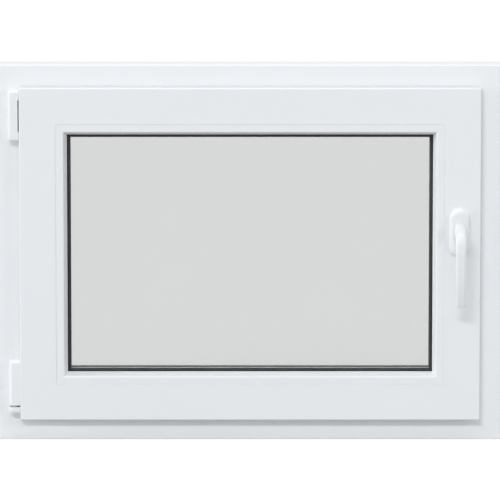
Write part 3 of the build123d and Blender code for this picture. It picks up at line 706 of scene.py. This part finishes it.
def drain_hood(name, node, middle):
    """Hood over a drain slot, open at the bottom: an arch drawn in towards a flat front.

    The arch runs up one side, over and down the other. Each next row draws it in and lifts it as a
    quarter circle does, and the last row bounds the flat front. Solidify gives it its wall.
    """
    half_width, bottom, height, thickness, edge, corner = 21.0, 14.0, 13.0, 5.0, 2.0, 2.2
    q = np.linspace(0, np.pi / 2, 7)
    left_x = -half_width + corner * (1 - np.cos(q))
    left_z = height - corner * (1 - np.sin(q))
    arch_x = np.concatenate([[-half_width], left_x, -left_x[::-1], [half_width]])
    arch_z = np.concatenate([[0], left_z, left_z[::-1], [0]])
    inset = np.concatenate([[0.0], edge * (1 - np.cos(q))])[:, None]
    rise = np.concatenate([[0.0], thickness - edge + edge * np.sin(q)])[:, None]
    x = middle + arch_x * (1 - inset / half_width)
    z = bottom + arch_z * (1 - inset / height)
    y = np.broadcast_to(FRAME_BACK + rise, x.shape)
    points = np.stack([x, y, z], axis=-1).reshape(-1, 3)
    rows, count = x.shape
    last = rows * count
    faces = grid_quads(rows, count, False, False).tolist() + [list(range(last - 1, last - count - 1, -1))]
    hood = make_piece(name, points, faces, white_moulding, "window", [node])
    wall = hood.modifiers.new("wall", "SOLIDIFY")
    wall.thickness = 1.6 * MM
    wall.offset = -1.0
    return hood


for side, middle in (("hinge_side", -210.0), ("lock_side", 210.0)):
    drain_hood(f"drain_hood_{side}", f"drain_cover_{side}", middle)


# Floor, light and camera

FLOOR_REACH, FLOOR_DROP = 30.0, 0.0002     # the drop keeps the floor clear of the window's bottom face
LAMP_DISTANCE = 30.0
WHITE_LIGHT, COOL_LIGHT = (1.0, 1.0, 1.0), (0.98, 0.99, 1.0)


def seen_by(tree, *rays):
    """One where a ray of one of the named kinds meets the surface, else zero."""
    path = tree.nodes.new("ShaderNodeLightPath")
    seen = path.outputs[rays[0]]
    for ray in rays[1:]:
        seen = math_node(tree, "MAXIMUM", seen, path.outputs[ray])
    return seen


def stage_floor():
    """Wide pale floor. Seen directly, in gloss or through glass it is nearly white and keeps a faint shadow."""
    mesh = bpy.data.meshes.new("floor")
    corners = [(x * FLOOR_REACH, y * FLOOR_REACH, -FLOOR_DROP) for x, y in ((-1, -1), (1, -1), (1, 1), (-1, 1))]
    mesh.from_pydata(corners, [], [(0, 1, 2, 3)])
    floor = bpy.data.objects.new("floor", mesh)
    bpy.context.scene.collection.objects.link(floor)
    material = bpy.data.materials.new("floor_white")
    material.use_nodes = True
    tree = material.node_tree
    tree.nodes.clear()
    out = tree.nodes.new("ShaderNodeOutputMaterial")
    plain = tree.nodes.new("ShaderNodeBsdfDiffuse")
    plain.inputs["Color"].default_value = (0.55, 0.55, 0.55, 1)
    faint = tree.nodes.new("ShaderNodeBsdfDiffuse")
    faint.inputs["Color"].default_value = (0.15, 0.15, 0.15, 1)
    glow = tree.nodes.new("ShaderNodeEmission")
    glow.inputs["Color"].default_value = (1, 1, 1, 1)
    glow.inputs["Strength"].default_value = 0.90
    added = tree.nodes.new("ShaderNodeAddShader")
    tree.links.new(glow.outputs[0], added.inputs[0])
    tree.links.new(faint.outputs[0], added.inputs[1])
    seen = seen_by(tree, "Is Camera Ray", "Is Glossy Ray", "Is Transmission Ray")
    mix = tree.nodes.new("ShaderNodeMixShader")
    tree.links.new(seen, mix.inputs[0])
    tree.links.new(plain.outputs[0], mix.inputs[1])
    tree.links.new(added.outputs[0], mix.inputs[2])
    tree.links.new(mix.outputs[0], out.inputs["Surface"])
    mesh.materials.append(material)


def surroundings(level, tint):
    """Even light from all round. The camera and glass see it as white, and gloss sees the even light."""
    world = bpy.data.worlds.new("studio")
    bpy.context.scene.world = world
    world.use_nodes = True
    tree = world.node_tree
    tree.nodes.clear()
    out = tree.nodes.new("ShaderNodeOutputWorld")
    even = tree.nodes.new("ShaderNodeBackground")
    even.inputs["Color"].default_value = (*tint, 1)
    even.inputs["Strength"].default_value = level
    white = tree.nodes.new("ShaderNodeBackground")
    white.inputs["Color"].default_value = (1, 1, 1, 1)
    seen = seen_by(tree, "Is Camera Ray", "Is Transmission Ray")
    mix = tree.nodes.new("ShaderNodeMixShader")
    tree.links.new(seen, mix.inputs[0])
    tree.links.new(even.outputs[0], mix.inputs[1])
    tree.links.new(white.outputs[0], mix.inputs[2])
    tree.links.new(mix.outputs[0], out.inputs["Surface"])


def soft_lamp(name, azimuth, elevation, width, height, power, colour):
    """Rectangular lamp that faces the window's middle. Azimuth is from straight in front, to the right."""
    lamp = bpy.data.lights.new(name, "AREA")
    lamp.shape = "RECTANGLE"
    lamp.size, lamp.size_y = width, height
    lamp.energy = power
    lamp.color = colour
    holder = bpy.data.objects.new(name, lamp)
    a, e = math.radians(azimuth), math.radians(elevation)
    away = Vector((math.sin(a) * math.cos(e), -math.cos(a) * math.cos(e), math.sin(e)))
    holder.location = Vector((0, FRAME_FRONT * MM, HEIGHT / 2 * MM)) + away * LAMP_DISTANCE
    holder.rotation_mode = "QUATERNION"
    holder.rotation_quaternion = (-away).to_track_quat("-Z", "Y")
    holder.visible_camera = False
    bpy.context.scene.collection.objects.link(holder)
    return holder


stage_floor()
surroundings(0.46, (0.97, 0.985, 1.0))
soft_lamp("key_softbox", -14, 33, 12.0, 2.4, 2800.0, WHITE_LIGHT)
soft_lamp("left_softbox", -82, 10, 4.0, 6.0, 3600.0, WHITE_LIGHT)
soft_lamp("right_softbox", 55, 15, 12.0, 9.0, 1700.0, WHITE_LIGHT)
soft_lamp("top_softbox", 0, 84, 15.0, 9.0, 2500.0, COOL_LIGHT)
soft_lamp("rear_softbox", 180, 62, 15.0, 9.0, 1350.0, COOL_LIGHT)
# The lamp outside glances off no gloss, so the frame's top face stays off-white seen from the room
outside = soft_lamp("outside_softbox", 180, 18, 15.0, 9.0, 500.0, COOL_LIGHT)
outside.visible_glossy = False

camera = bpy.data.cameras.new("photo_view")
camera.sensor_width = 36.0
camera.lens = 362.4
camera.clip_end = 100.0
holder = bpy.data.objects.new("photo_view", camera)
bpy.context.scene.collection.objects.link(holder)
elevation, distance = math.radians(8.0), 8.0
aim = Vector((0, FRAME_FRONT * MM, 0.3052))
holder.location = aim + Vector((0, -math.cos(elevation), math.sin(elevation))) * distance
holder.rotation_mode = "QUATERNION"
holder.rotation_quaternion = (aim - holder.location).to_track_quat("-Z", "Y")
bpy.context.scene.camera = holder
bpy.context.scene.view_settings.view_transform = "Standard"
